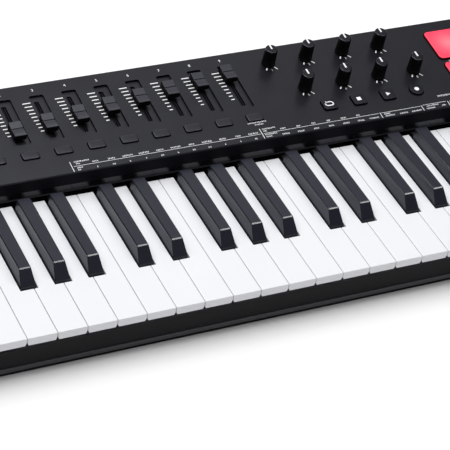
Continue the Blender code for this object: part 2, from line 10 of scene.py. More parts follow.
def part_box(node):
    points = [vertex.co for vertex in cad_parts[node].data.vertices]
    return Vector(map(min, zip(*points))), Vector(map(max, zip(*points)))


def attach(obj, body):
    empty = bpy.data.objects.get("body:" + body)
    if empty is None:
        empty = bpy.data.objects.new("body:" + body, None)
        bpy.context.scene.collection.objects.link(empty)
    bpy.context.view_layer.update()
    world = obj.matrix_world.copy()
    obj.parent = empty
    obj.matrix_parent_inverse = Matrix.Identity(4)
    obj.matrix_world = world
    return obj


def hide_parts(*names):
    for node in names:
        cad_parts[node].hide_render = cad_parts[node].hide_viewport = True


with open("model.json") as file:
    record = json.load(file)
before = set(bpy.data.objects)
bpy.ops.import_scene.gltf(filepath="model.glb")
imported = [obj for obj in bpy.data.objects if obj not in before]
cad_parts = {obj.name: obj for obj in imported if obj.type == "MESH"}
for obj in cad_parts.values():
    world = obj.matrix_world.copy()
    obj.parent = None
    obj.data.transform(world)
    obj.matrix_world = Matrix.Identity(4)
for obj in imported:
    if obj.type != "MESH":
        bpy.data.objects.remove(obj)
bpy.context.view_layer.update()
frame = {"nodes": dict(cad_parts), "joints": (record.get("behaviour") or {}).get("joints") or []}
NODES = frame["nodes"]
JOINTS = {j["name"]: j for j in frame["joints"]}

MM = 0.001
random.seed(7)

# ---------------------------------------------------------------- CAD numbers
FRONT_Y, REAR_Y = -127.2, 127.2
SLOPE, PANEL_Y0, PANEL_Z0 = 0.118, 21.8, 55.387
THETA = math.atan(SLOPE)
CT, ST = math.cos(THETA), math.sin(THETA)
KEY_TOP, PITCH, KEYS_X0, N_OCT, KEY_GAP = 36.5, 23.5, -295.5, 4, 0.7
OCT = 7 * PITCH
LIP_H, LIP_T, PLATE_T = 7.1, 2.5, 2.5
SHARP_FRONT_Y, NOTCH_HALF = -77.2, 7.0
SHARP_OFFSET = {"Cs": -2.6, "Ds": 2.4, "Fs": -3.6, "Gs": 0.0, "As": 3.6}
SHARP_AFTER = {"Cs": 1, "Ds": 2, "Fs": 4, "Gs": 5, "As": 6}
HINGE_Y, SPINE_HALF = 62.0, 4.0
SPINE_Z = {"lower": (21.5, 25.0), "upper": (26.2, 29.7), "sharp": (30.9, 34.4)}
TAIL_Y0 = 17.8
FADER_X1, FADER_PITCH, FADER_SLOT_DX = -189.25, 28.025, -0.75


def panel_z(y):
    return PANEL_Z0 + SLOPE * (y - PANEL_Y0)


def panel_frame(x, y):
    return Matrix(((1, 0, 0, x * MM), (0, CT, -ST, y * MM), (0, ST, CT, panel_z(y) * MM), (0, 0, 0, 1)))


# ------------------------------------------------------------------ materials
def nodes_of(mat):
    mat.use_nodes = True
    nt = mat.node_tree
    return nt, nt.nodes["Principled BSDF"]


def plastic(name, base, rough, vary=0.06, grain=1400.0, bump=0.10, grain_rough=0.05, spec=0.5, coat=0.0,
            coat_rough=0.1, coarse=35.0, ior=1.5, dist=0.00005, tint=(1.0, 1.0, 1.0)):
    """Moulded plastic: fine spark-erosion grain, faint flow variation in colour and gloss."""
    mat = bpy.data.materials.new(name)
    nt, b = nodes_of(mat)
    tc = nt.nodes.new("ShaderNodeTexCoord")
    fine = nt.nodes.new("ShaderNodeTexNoise")
    fine.inputs["Scale"].default_value = grain
    fine.inputs["Detail"].default_value = 3.0
    fine.inputs["Roughness"].default_value = 0.6
    wide = nt.nodes.new("ShaderNodeTexNoise")
    wide.inputs["Scale"].default_value = coarse
    wide.inputs["Detail"].default_value = 4.0
    nt.links.new(tc.outputs["Object"], fine.inputs["Vector"])
    nt.links.new(tc.outputs["Object"], wide.inputs["Vector"])
    ramp = nt.nodes.new("ShaderNodeMapRange")
    ramp.inputs["From Min"].default_value = 0.3
    ramp.inputs["From Max"].default_value = 0.7
    ramp.inputs["To Min"].default_value = 1.0 - vary
    ramp.inputs["To Max"].default_value = 1.0 + vary
    nt.links.new(wide.outputs["Fac"], ramp.inputs["Value"])
    hsv = nt.nodes.new("ShaderNodeHueSaturation")
    hsv.inputs["Color"].default_value = (*base, 1.0)
    nt.links.new(ramp.outputs["Result"], hsv.inputs["Value"])
    nt.links.new(hsv.outputs["Color"], b.inputs["Base Color"])
    add = nt.nodes.new("ShaderNodeMath")
    add.operation = "MULTIPLY_ADD"
    nt.links.new(fine.outputs["Fac"], add.inputs[0])
    add.inputs[1].default_value = grain_rough * 2
    mr = nt.nodes.new("ShaderNodeMapRange")
    mr.inputs["From Min"].default_value = 0.3
    mr.inputs["From Max"].default_value = 0.7
    mr.inputs["To Min"].default_value = rough - grain_rough * 1.6
    mr.inputs["To Max"].default_value = rough - grain_rough * 0.4
    nt.links.new(wide.outputs["Fac"], mr.inputs["Value"])
    nt.links.new(mr.outputs["Result"], add.inputs[2])
    nt.links.new(add.outputs["Value"], b.inputs["Roughness"])
    bn = nt.nodes.new("ShaderNodeBump")
    bn.inputs["Strength"].default_value = bump
    bn.inputs["Distance"].default_value = dist
    nt.links.new(fine.outputs["Fac"], bn.inputs["Height"])
    nt.links.new(bn.outputs["Normal"], b.inputs["Normal"])
    b.inputs["Specular IOR Level"].default_value = spec
    b.inputs["Specular Tint"].default_value = (*tint, 1.0)
    b.inputs["IOR"].default_value = ior
    b.inputs["Coat Weight"].default_value = coat
    b.inputs["Coat Roughness"].default_value = coat_rough
    return mat


def metal(name, base, rough, scale=(900.0, 60.0, 900.0)):
    """Plated sheet with a directional brushed finish."""
    mat = bpy.data.materials.new(name)
    nt, b = nodes_of(mat)
    tc = nt.nodes.new("ShaderNodeTexCoord")
    mp = nt.nodes.new("ShaderNodeMapping")
    mp.inputs["Scale"].default_value = scale
    nz = nt.nodes.new("ShaderNodeTexNoise")
    nz.inputs["Scale"].default_value = 1.0
    nz.inputs["Detail"].default_value = 4.0
    nt.links.new(tc.outputs["Object"], mp.inputs["Vector"])
    nt.links.new(mp.outputs["Vector"], nz.inputs["Vector"])
    mr = nt.nodes.new("ShaderNodeMapRange")
    mr.inputs["To Min"].default_value = rough - 0.08
    mr.inputs["To Max"].default_value = rough + 0.10
    nt.links.new(nz.outputs["Fac"], mr.inputs["Value"])
    nt.links.new(mr.outputs["Result"], b.inputs["Roughness"])
    cr = nt.nodes.new("ShaderNodeValToRGB")
    cr.color_ramp.elements[0].color = (*[c * 0.85 for c in base], 1)
    cr.color_ramp.elements[1].color = (*base, 1)
    nt.links.new(nz.outputs["Fac"], cr.inputs["Fac"])
    nt.links.new(cr.outputs["Color"], b.inputs["Base Color"])
    b.inputs["Metallic"].default_value = 1.0
    bn = nt.nodes.new("ShaderNodeBump")
    bn.inputs["Strength"].default_value = 0.15
    bn.inputs["Distance"].default_value = 0.00003
    nt.links.new(nz.outputs["Fac"], bn.inputs["Height"])
    nt.links.new(bn.outputs["Normal"], b.inputs["Normal"])
    return mat


def lit_pad_material():
    """Translucent silicone lit from behind: brighter and paler over the lamp, deeper red at the rim."""
    mat = bpy.data.materials.new("pad_silicone")
    nt, b = nodes_of(mat)
    tc = nt.nodes.new("ShaderNodeTexCoord")
    gm = nt.nodes.new("ShaderNodeVectorMath")
    gm.operation = "LENGTH"
    flat = nt.nodes.new("ShaderNodeVectorMath")
    flat.operation = "MULTIPLY"
    flat.inputs[1].default_value = (1000 / 19.0, 1000 / 19.0, 0.0)
    nt.links.new(tc.outputs["Object"], flat.inputs[0])
    nt.links.new(flat.outputs["Vector"], gm.inputs[0])
    fine = nt.nodes.new("ShaderNodeTexNoise")
    fine.inputs["Scale"].default_value = 260.0
    fine.inputs["Detail"].default_value = 2.0
    nt.links.new(tc.outputs["Object"], fine.inputs["Vector"])
    jit = nt.nodes.new("ShaderNodeMath")
    jit.operation = "MULTIPLY_ADD"
    nt.links.new(fine.outputs["Fac"], jit.inputs[0])
    jit.inputs[1].default_value = 0.04
    nt.links.new(gm.outputs["Value"], jit.inputs[2])
    cr = nt.nodes.new("ShaderNodeValToRGB")
    e = cr.color_ramp.elements
    e[0].position, e[0].color = 0.05, (1.0, 0.20, 0.235, 1)
    e[1].position, e[1].color = 1.15, (0.98, 0.030, 0.085, 1)
    mid = cr.color_ramp.elements.new(0.62)
    mid.color = (1.0, 0.075, 0.13, 1)
    nt.links.new(jit.outputs["Value"], cr.inputs["Fac"])
    nt.links.new(cr.outputs["Color"], b.inputs["Emission Color"])
    b.inputs["Emission Strength"].default_value = 0.92
    dk = nt.nodes.new("ShaderNodeMix")
    dk.data_type = "RGBA"
    dk.inputs["Factor"].default_value = 0.75
    nt.links.new(cr.outputs["Color"], dk.inputs["A"])
    dk.inputs["B"].default_value = (0.10, 0.01, 0.02, 1)
    nt.links.new(dk.outputs["Result"], b.inputs["Base Color"])
    b.inputs["Roughness"].default_value = 0.5
    b.inputs["Subsurface Weight"].default_value = 0.0
    bn = nt.nodes.new("ShaderNodeBump")
    bn.inputs["Strength"].default_value = 0.12
    bn.inputs["Distance"].default_value = 0.0001
    f2 = nt.nodes.new("ShaderNodeTexNoise")
    f2.inputs["Scale"].default_value = 1300.0
    nt.links.new(tc.outputs["Object"], f2.inputs["Vector"])
    nt.links.new(f2.outputs["Fac"], bn.inputs["Height"])
    nt.links.new(bn.outputs["Normal"], b.inputs["Normal"])
    return mat


def ink(name, colour, strength=0.0):
    mat = plastic(name, colour, 0.5, vary=0.03, grain=2500, bump=0.03)
    if strength:
        b = mat.node_tree.nodes["Principled BSDF"]
        b.inputs["Emission Color"].default_value = (*colour, 1)
        b.inputs["Emission Strength"].default_value = strength
    return mat


M_CASE = plastic("case_plastic", (0.0058, 0.0061, 0.0084), 0.30, vary=0.05, grain=1500, bump=0.06, dist=0.00003,
                 grain_rough=0.02, spec=0.56, tint=(0.88, 0.90, 1.0))
M_RAIL = plastic("rail_plastic", (0.0070, 0.0072, 0.0085), 0.50, vary=0.05, grain=1500, bump=0.12, spec=0.12)
M_FASCIA = plastic("fascia_gloss", (0.0040, 0.0042, 0.0056), 0.26, vary=0.05, grain=900, bump=0.02, grain_rough=0.02,
                   tint=(0.9, 0.92, 1.0))
M_FASCIA_TOP = plastic("fascia_matte", (0.0075, 0.0082, 0.0115), 0.55, vary=0.05, grain=1500, bump=0.10, spec=0.05)
M_TRANSPORT = plastic("transport_plastic", (0.0068, 0.0070, 0.0100), 0.36, vary=0.04, grain=1700, bump=0.06, spec=0.34,
                      grain_rough=0.02, tint=(0.84, 0.87, 1.0))
M_TRAY = plastic("tray_plastic", (0.048, 0.049, 0.055), 0.50, vary=0.05, grain=1300, bump=0.2, spec=0.3)
M_WHITE = plastic("key_white", (0.790, 0.800, 0.826), 0.26, vary=0.006, grain=2200, bump=0.02, grain_rough=0.02,
                  coarse=18)
M_BLACK = plastic("key_black", (0.0086, 0.0093, 0.0168), 0.33, vary=0.05, grain=1800, bump=0.06, grain_rough=0.03,
                  spec=0.54, tint=(0.82, 0.86, 1.0))
# black-key bevels: a glossier finish, with a slightly lighter base colour as a painted highlight along the edges
M_BLACK_EDGE_PAINTED_HIGHLIGHT = plastic("key_black_edge_painted_highlight", (0.0100, 0.0108, 0.0180), 0.22, vary=0.05, grain=1800, bump=0.02,
                       grain_rough=0.02, spec=0.62)
M_TAIL = plastic("key_tail", (0.010, 0.010, 0.011), 0.6)
M_CAP = plastic("cap_plastic", (0.0190, 0.0195, 0.0250), 0.38, vary=0.04, grain=1700, bump=0.06, grain_rough=0.02,
                tint=(0.86, 0.88, 1.0))
M_KNOB = plastic("knob_plastic", (0.0020, 0.0020, 0.0026), 0.45, vary=0.05, grain=1800, bump=0.10, spec=0.16)
M_KNOB_TOP = plastic("knob_top_plastic", (0.0048, 0.0050, 0.0070), 0.24, vary=0.05, grain=1800, bump=0.02, grain_rough=0.02,
                     tint=(0.88, 0.90, 1.0))
M_BUTTON = plastic("button_plastic", (0.0120, 0.0124, 0.0160), 0.32, vary=0.04, grain=1700, bump=0.06, grain_rough=0.02,
                   tint=(0.86, 0.88, 1.0))
# near-black plastic used as painted shade: walls of the panel cut-outs, sides of caps and buttons, and the tray's low
# front rib
M_PAINTED_SHADE = plastic("painted_shade_side_plastic", (0.0022, 0.0023, 0.0032), 0.60, vary=0.05, grain=1700, bump=0.15, spec=0.08)
M_SLIT = plastic("dust_lip", (0.0075, 0.0080, 0.0100), 0.75, vary=0.06, grain=900, bump=0.3, spec=0.15)
M_WHEEL = plastic("wheel_rubber", (0.016, 0.016, 0.018), 0.66, vary=0.06, grain=1200, bump=0.25)
M_RUBBER = plastic("foot_rubber", (0.012, 0.012, 0.012), 0.80, vary=0.10, grain=700, bump=0.4)
M_SILICONE = plastic("contact_silicone", (0.32, 0.32, 0.33), 0.7, vary=0.04, grain=900, bump=0.2)
M_BOARD = plastic("board_laminate", (0.0035, 0.0050, 0.0045), 0.55, vary=0.10, grain=900, bump=0.2, coarse=220, spec=0.2)
M_CHASSIS = plastic("chassis_plastic", (0.020, 0.020, 0.022), 0.62, vary=0.06, grain=900, bump=0.25)
M_INK = ink("white_ink", (0.86, 0.87, 0.88))
M_INK_DIM = ink("grey_ink", (0.60, 0.61, 0.63))
M_WINDOW = plastic("display_glass", (0.004, 0.004, 0.005), 0.34, vary=0.02, grain=1200, bump=0.01, grain_rough=0.02,
                   spec=0.4)
M_LED = ink("display_digits", (0.85, 0.90, 1.0), 1.4)
M_STEEL = metal("socket_steel", (0.62, 0.62, 0.64), 0.30)
M_SCREW = metal("screw_steel", (0.10, 0.10, 0.11), 0.35, (400.0, 400.0, 400.0))
M_PAD = lit_pad_material()
M_PAD_RIM = plastic("pad_rim", (0.42, 0.012, 0.030), 0.5, vary=0.04, grain=900, bump=0.1)
M_PAD_SIDE = plastic("pad_side", (0.030, 0.004, 0.006), 0.6, vary=0.06, grain=900, bump=0.15, spec=0.1)


# ---------------------------------------------------------------- mesh helpers
def loft(rings, cap=True):
    bm = bmesh.new()
    loops = [[bm.verts.new(Vector(p) * MM) for p in ring] for ring in rings]
    n = len(loops[0])
    for a, b in zip(loops[:-1], loops[1:]):
        for i in range(n):
            j = (i + 1) % n
            bm.faces.new((a[i], a[j], b[j], b[i]))
    if cap:
        bm.faces.new(list(reversed(loops[0])))
        bm.faces.new(loops[-1])
    bmesh.ops.recalc_face_normals(bm, faces=bm.faces)
    return bm


def prism_x(profile, x0, x1):
    return loft([[(x, y, z) for y, z in profile] for x in (x0, x1)])


def prism_z(outline, z0, z1):
    return loft([[(x, y, z) for x, y in outline] for z in (z0, z1)])


def box(x0, x1, y0, y1, z0, z1):
    return prism_z([(x0, y0), (x1, y0), (x1, y1), (x0, y1)], z0, z1)


def rounded_rect(w, d, r, seg=3, cx=0.0, cy=0.0):
    pts = []
    for k, (sx, sy) in enumerate(((1, 1), (-1, 1), (-1, -1), (1, -1))):
        ox, oy = cx + sx * (w / 2 - r), cy + sy * (d / 2 - r)
        for i in range(seg + 1):
            a = math.radians(90 * k + 90 * i / seg)
            pts.append((ox + r * math.cos(a), oy + r * math.sin(a)))
    return pts


def circle(r, n, cx=0.0, cy=0.0, phase=0.0):
    return [(cx + r * math.cos(2 * math.pi * i / n + phase),
             cy + r * math.sin(2 * math.pi * i / n + phase)) for i in range(n)]


def moved(bm, matrix):
    bmesh.ops.transform(bm, matrix=matrix, verts=bm.verts)
    return bm


def merged(parts):
    out = bmesh.new()
    for bm in parts:
        me = bpy.data.meshes.new("tmp")
        bm.to_mesh(me)
        bm.free()
        out.from_mesh(me)
        bpy.data.meshes.remove(me)
    return out


def piece(name, bm, material, body, bevel=0.0, seg=2, angle=40.0, replaces=(), smooth=40.0, origin=None):
    """A finished piece on a body, with its edges softened by a bevel."""
    if origin is not None:
        bmesh.ops.transform(bm, matrix=origin.inverted(), verts=bm.verts)
    me = bpy.data.meshes.new(name)
    bm.to_mesh(me)
    bm.free()
    ob = bpy.data.objects.new(name, me)
    bpy.context.scene.collection.objects.link(ob)
    for m in (material if isinstance(material, (list, tuple)) else (material,)):
        me.materials.append(m)
    if origin is not None:
        ob.matrix_world = origin
    me.shade_smooth()
    if bevel > 0:
        md = ob.modifiers.new("edges", "BEVEL")
        md.width = bevel * MM
        md.segments = seg
        md.limit_method = "ANGLE"
        md.angle_limit = math.radians(angle)
        md.harden_normals = True
        md.miter_outer = "MITER_ARC"
        me.set_sharp_from_angle(angle=math.radians(smooth))
    else:
        me.set_sharp_from_angle(angle=math.radians(smooth))
    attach(ob, body)
    if replaces:
        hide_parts(*replaces)
    return ob


def node_mesh(node):
    """The CAD node's solid as one clean mesh with its flat faces whole again."""
    bm = bmesh.new()
    bm.from_mesh(NODES[node].data)
    bmesh.ops.remove_doubles(bm, verts=bm.verts, dist=2e-6)
    bmesh.ops.dissolve_limit(bm, angle_limit=math.radians(0.5), verts=bm.verts, edges=bm.edges)
    bmesh.ops.recalc_face_normals(bm, faces=bm.faces)
    return bm


def text_bm(body_text, size, thick=0.06):
    """A plain numeral or sign as a thin raised solid, centred on the origin, in metres."""
    cu = bpy.data.curves.new("t", "FONT")
    cu.body = body_text
    cu.size = size * MM
    cu.extrude = thick * 0.5 * MM
    cu.align_x = "CENTER"
    cu.align_y = "CENTER"
    cu.resolution_u = 3
    ob = bpy.data.objects.new("t", cu)
    bpy.context.scene.collection.objects.link(ob)
    bpy.context.view_layer.update()
    me = bpy.data.meshes.new_from_object(ob.evaluated_get(bpy.context.evaluated_depsgraph_get()))
    bm = bmesh.new()
    bm.from_mesh(me)
    bmesh.ops.remove_doubles(bm, verts=bm.verts, dist=1e-7)
    bpy.data.objects.remove(ob, do_unlink=True)
    bpy.data.curves.remove(cu)
    bpy.data.meshes.remove(me)
    return bm


INK_H0, INK_H1 = -0.02, 0.045


def ink_poly(pts, matrix, h0=INK_H0, h1=INK_H1):
    return moved(prism_z(pts, h0, h1), matrix)


def ink_bar(x, y, w, d, rot=0.0, base=(0.0, 0.0), h=0.0):
    """A printed bar on the panel at plan position, rot in degrees about the panel normal."""
    m = panel_frame(base[0], base[1]) @ Matrix.Translation((0, 0, h * MM)) @ \
        Matrix.Translation((x * MM, y * MM, 0)) @ Matrix.Rotation(math.radians(rot), 4, "Z")
    return ink_poly([(-w / 2, -d / 2), (w / 2, -d / 2), (w / 2, d / 2), (-w / 2, d / 2)], m)


# -------------------------------------------------------------- case and tray
FASCIA_SPLIT = 44.5


def make_case():
    bm = node_mesh("top_housing")
    # the fascia behind the keys: textured above, a polished strip below
    front = [f for f in bm.faces if f.normal.y < -0.95 and abs(f.calc_center_median().y / MM - PANEL_Y0) < 0.3]
    geom = front + list({e for f in front for e in f.edges}) + list({v for f in front for v in f.verts})
    bmesh.ops.bisect_plane(bm, geom=geom, dist=1e-7, plane_co=(0, 0, FASCIA_SPLIT * MM), plane_no=(0, 0, 1))
    for f in bm.faces:
        c, n = f.calc_center_median() / MM, f.normal
        if n.y < -0.95 and abs(c.y - PANEL_Y0) < 0.3 and c.z > 37:
            f.material_index = 1 if c.z < FASCIA_SPLIT else 3
        elif c.y < -118.0 and c.z < 25.0 and n.z < 0.95 and -296 < c.x < 387:
            f.material_index = 2
        # walls of the cut-outs just under the panel get the near-black material as painted shade
        elif n.z < 0.5 and c.y > PANEL_Y0 + 4 and c.y < 122 and abs(c.x) < 395 and panel_z(c.y) - c.z < 7:
            f.material_index = 4
    # softer outer edges, crisper edges round the cut-outs of the panel
    wl = bm.edges.layers.float.new("bevel_weight_edge")
    for e in bm.edges:
        if len(e.link_faces) != 2 or e.calc_face_angle() < math.radians(40):
            continue
        c = (e.verts[0].co + e.verts[1].co) / 2 / MM
        depth = panel_z(c.y) - c.z
        if -200 < c.x < 46 and 60 < c.y < 113 and -1 < depth < 4:
            e[wl] = 0.22
        elif c.y > PANEL_Y0 + 1 and -1 < depth < 4 and abs(c.x) < 397 and c.y < 125:
            e[wl] = 0.45
        else:
            e[wl] = 1.0
    ob = piece("case_top_shell", bm, (M_CASE, M_FASCIA, M_RAIL, M_FASCIA_TOP, M_PAINTED_SHADE), "case", 0.55, 2, 50.0,
               ("top_housing",))
    ob.data.shade_flat()
    ob.modifiers["edges"].limit_method = "WEIGHT"
    ob.modifiers["edges"].harden_normals = False
    return ob


def make_tray():
    bm = node_mesh("bottom_tray")
    for f in bm.faces:
        c = f.calc_center_median() / MM
        # the low rib under the tray's front band gets the near-black material as painted shade
        if c.y < -119.0 and c.z < 3.15:
            f.material_index = 1
    return piece("case_bottom_shell", bm, (M_TRAY, M_PAINTED_SHADE), "case", 0.25, 2, 30.0, ("bottom_tray",))


make_case()
make_tray()


def lathe(profile, n, matrix, ribs=0, rib_depth=0.0, rib_range=(0, 0), rib_duty=0.5):
    """Turned solid about local Z; the rings between two heights may carry knurled ribs."""
    rings = []
    for r, h in profile:
        ring = []
        for i in range(n):
            a = 2 * math.pi * i / n
            rr = r
            if ribs and rib_range[0] <= h <= rib_range[1]:
                t = (i * ribs / n) % 1.0
                rr = r - (rib_depth if t >= rib_duty else 0.0)
            ring.append((rr * math.cos(a), rr * math.sin(a), h))
        rings.append(ring)
    return moved(loft(rings), matrix)


# feet: moulded rubber pads with a soft rim and a recessed centre
for a, b in (("front", "left"), ("front", "right"), ("rear", "left"), ("rear", "right")):
    nm = "foot_%s_%s" % (a, b)
    lo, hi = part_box(nm)
    c = (lo + hi) / 2
    prof = [(4.4, 0.5), (4.9, 0.12), (5.3, 0.0), (7.0, 0.0), (7.6, 0.2), (8.0, 0.8), (8.0, 3.5)]
    piece("rubber_" + nm, lathe(prof, 64, Matrix.Translation((c.x, c.y, 0))), M_RUBBER, "case",
          replaces=(nm,), smooth=50)

# screws in the bottom shell
screws = []
for x in (-380, -250, -90, 90, 250, 380):
    for y in (-92 if abs(x) < 300 else -60, 20, 112):
        m = Matrix.Translation((x * MM, y * MM, 3.2 * MM)) @ Matrix.Rotation(math.pi, 4, "X")
        bmx = lathe([(3.2, -0.3), (3.2, 0.25), (2.6, 0.6), (1.5, 0.75)], 28, m)
        screws.append(bmx)
        for r in (0, 90):
            screws.append(moved(box(-1.5, 1.5, -0.28, 0.28, 0.7, 0.80), m @ Matrix.Rotation(math.radians(r + 20), 4, "Z")))
piece("bottom_screws", merged(screws), M_SCREW, "case", smooth=35)


# -------------------------------------------------------------------- keys
def sharp_centre(octave, name):
    return KEYS_X0 + octave * OCT + SHARP_AFTER[name] * PITCH + SHARP_OFFSET[name]


LETTER = "CDEFGAB"


def white_key(octave, index, body, top_c=False):
    g = 0.235
    x0 = KEYS_X0 + octave * OCT + index * PITCH + g
    x1 = x0 + PITCH - 2 * g
    left = {1: "Cs", 2: "Ds", 4: "Fs", 5: "Gs", 6: "As"}.get(index)
    right = None if top_c else {0: "Cs", 1: "Ds", 3: "Fs", 4: "Gs", 5: "As"}.get(index)
    xl = sharp_centre(octave, left) + NOTCH_HALF if left else x0
    xr = sharp_centre(octave, right) - NOTCH_HALF if right else x1
    yl = FRONT_Y + LIP_T
    rest = [(x1, yl)]
    if right:
        rest += [(x1, SHARP_FRONT_Y), (xr, SHARP_FRONT_Y)]
    rest += [(xr, TAIL_Y0), (xl, TAIL_Y0)]
    if left:
        rest += [(xl, SHARP_FRONT_Y), (x0, SHARP_FRONT_Y)]
    rest += [(x0, yl)]
    outline = [(x0, FRONT_Y), (x1, FRONT_Y)] + rest
    bm = bmesh.new()
    z1, z0, zl = KEY_TOP, KEY_TOP - PLATE_T, KEY_TOP - LIP_H
    top = [bm.verts.new(Vector((x, y, z1)) * MM) for x, y in outline]
    bot = [bm.verts.new(Vector((x, y, z0)) * MM) for x, y in outline]
    n = len(outline)
    bm.faces.new(top)
    for i in range(n):
        j = (i + 1) % n
        bm.faces.new((top[i], bot[i], bot[j], top[j]))
    bm.faces.new([bot[0], bot[n - 1], bot[2], bot[1]])
    bm.faces.new(list(reversed(bot[2:])))
    bm.faces.ensure_lookup_table()
    strip = [f for f in bm.faces if len(f.verts) == 4 and all(v in f.verts for v in (bot[0], bot[1], bot[2], bot[n - 1]))]
    # the lip hangs straight and is cut back at its lower corners
    for dz, inset in ((zl + 2.5 - z0, 0.0), (-2.5, 1.05)):
        res = bmesh.ops.extrude_face_region(bm, geom=strip)
        newv = [e for e in res["geom"] if isinstance(e, bmesh.types.BMVert)]
        bmesh.ops.translate(bm, verts=newv, vec=(0, 0, dz * MM))
        for v in newv:
            v.co.x += (inset if v.co.x < (x0 + x1) / 2 * MM else -inset) * MM
        bmesh.ops.delete(bm, geom=strip, context="FACES_ONLY")
        strip = [e for e in res["geom"] if isinstance(e, bmesh.types.BMFace)]
    bmesh.ops.recalc_face_normals(bm, faces=bm.faces)
    name = "white_key_%s%d" % (LETTER[index], octave + 1)
    ob = piece(name, bm, M_WHITE, body, 0.42, 3, 40.0)
    # hanging sides behind the lip, a hair inside the top plate
    e = 0.05
    pts = [(x0 + e, -118.0), (x1 - e, -118.0)]
    if right:
        pts += [(x1 - e, SHARP_FRONT_Y - e), (xr - e, SHARP_FRONT_Y - e)]
    pts += [(xr - e, TAIL_Y0 - e), (xl + e, TAIL_Y0 - e)]
    if left:
        pts += [(xl + e, SHARP_FRONT_Y - e), (x0 + e, SHARP_FRONT_Y - e)]
    side = piece(name + "_sides", prism_z(pts, 26.0, z0 + 0.3), M_WHITE, body)
    return ob, (xl + xr) / 2


def comb_tail(name, spans, level, body, node):
    z0, z1 = SPINE_Z[level]
    parts = []
    for xc, half in spans:
        zt0, zt1 = z0 + 0.2, z1 - 0.2
        if level == "sharp":
            prof = [(6.0, 35.2), (6.0, 27.1), (30.0, 27.1), (46.0, zt0), (HINGE_Y - 2.0, zt0), (HINGE_Y - 2.0, zt1),
                    (TAIL_Y0, z1 + 1.2)]
        else:
            prof = [(TAIL_Y0 - 3.0, 33.0), (TAIL_Y0 - 3.0, 26.4), (36.0, 25.4), (46.0 if level == "lower" else 44.0, zt0),
                    (HINGE_Y - 2.0, zt0), (HINGE_Y - 2.0, zt1), (46.0, zt1), (TAIL_Y0 + 1.0, 33.0)]
        parts.append(prism_x(prof, xc - half, xc + half))
    e0 = min(x - h for x, h in spans) - 1.5
    e1 = max(x + h for x, h in spans) + 1.5
    parts.append(box(e0, e1, HINGE_Y - SPINE_HALF, HINGE_Y + SPINE_HALF, z0, z1))
    piece(name, merged(parts), M_TAIL, body, 0.3, 1, 40.0,
          replaces=(node,))


def black_key(octave, key, body):
    xc = sharp_centre(octave, key)
    yf, yr, zt = SHARP_FRONT_Y + 2.0, 12.8, KEY_TOP
    bh, tf, tr = 6.1, 4.6, 5.6

    def ring(y0, hf, hr, zf, zr):
        return [(xc - hf, y0, zf), (xc + hf, y0, zf), (xc + hr, yr, zr), (xc - hr, yr, zr)]
    bm = loft([ring(yf, bh, bh, zt - 8.0, zt - 8.0), ring(yf, bh, bh, zt, zt),
               ring(yf + 10.0, tf, tr, zt + 11.0, zt + 10.2)])
    ob = piece("black_key_%s%d" % (key.replace("s", "sharp"), octave + 1), bm, (M_BLACK, M_BLACK_EDGE_PAINTED_HIGHLIGHT), body, 0.65, 1,
               30.0)
    ob.data.shade_flat()
    ob.modifiers["edges"].harden_normals = False
    # bevel faces take the glossier edge material, whose lighter colour is a painted highlight
    ob.modifiers["edges"].material = 1
    return ob, xc


for o in range(N_OCT):
    for nm, idx, level in (("white_keys_cegb_%d" % (o + 1), (0, 2, 4, 6), "lower"),
                           ("white_keys_dfa_%d" % (o + 1), (1, 3, 5), "upper")):
        spans = [(white_key(o, i, nm)[1], 3.0) for i in idx]
        comb_tail("tail_" + nm, spans, level, nm, nm)
    nm = "black_keys_%d" % (o + 1)
    spans = [(black_key(o, k, nm)[1], 2.6) for k in ("Cs", "Ds", "Fs", "Gs", "As")]
    comb_tail("tail_" + nm, spans, "sharp", nm, nm)
xc = white_key(N_OCT, 0, "top_c_key", True)[1]
comb_tail("tail_top_c_key", [(xc, 3.0)], "lower", "top_c_key", "top_c_key")


# ------------------------------------------------------------------- faders
def fader_cap(i):
    nm = "fader_cap_%d" % (i + 1)
    lo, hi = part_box(nm)
    x = (lo.x + hi.x) / 2 / MM
    y = 70.9 + 3.72 * i
    m = panel_frame(x, y)
    # shallow dish along the slope, split by a finger groove, sides drawn in a little
    prof = [(-9.2, 0.6), (7.4, 0.6), (7.4, 5.1), (7.15, 5.6), (6.7, 5.78), (0.22, 5.0), (-0.10, 4.25), (-0.90, 4.25),
            (-1.22, 5.0), (-8.5, 5.88), (-9.0, 5.7), (-9.2, 5.2)]

    def half(h):
        return 5.25 - 0.045 * h
    bm = loft([[(s * half(h), t, h) for t, h in prof] for s in (-1, 1)])
    # the cap's sides and front face get the near-black material as painted shade
    for f in bm.faces:
        if abs(f.normal.x) > 0.8 or f.normal.y < -0.95:
            f.material_index = 1
    ob = piece("fader_knob_%d" % (i + 1), moved(bm, m), (M_CAP, M_PAINTED_SHADE), nm, 0.20, 2, 28.0, (nm,), origin=m)
    st = piece("fader_stem_%d" % (i + 1), moved(box(-0.4, 0.4, -4.0, 4.0, -9.5, 1.2), m), M_STEEL, nm, 0.15, 1,
               origin=m)
    # fixed dust lips either side of the lever, just under the slot
    sm = panel_frame(x, 85.8)
    lips = [box(s0, s1, -21.0, 21.0, -3.2, -2.7) for s0, s1 in ((-1.35, -0.5), (0.5, 1.35))]
    piece("fader_lips_%d" % (i + 1), moved(merged(lips), sm), M_SLIT, "case")
    return ob


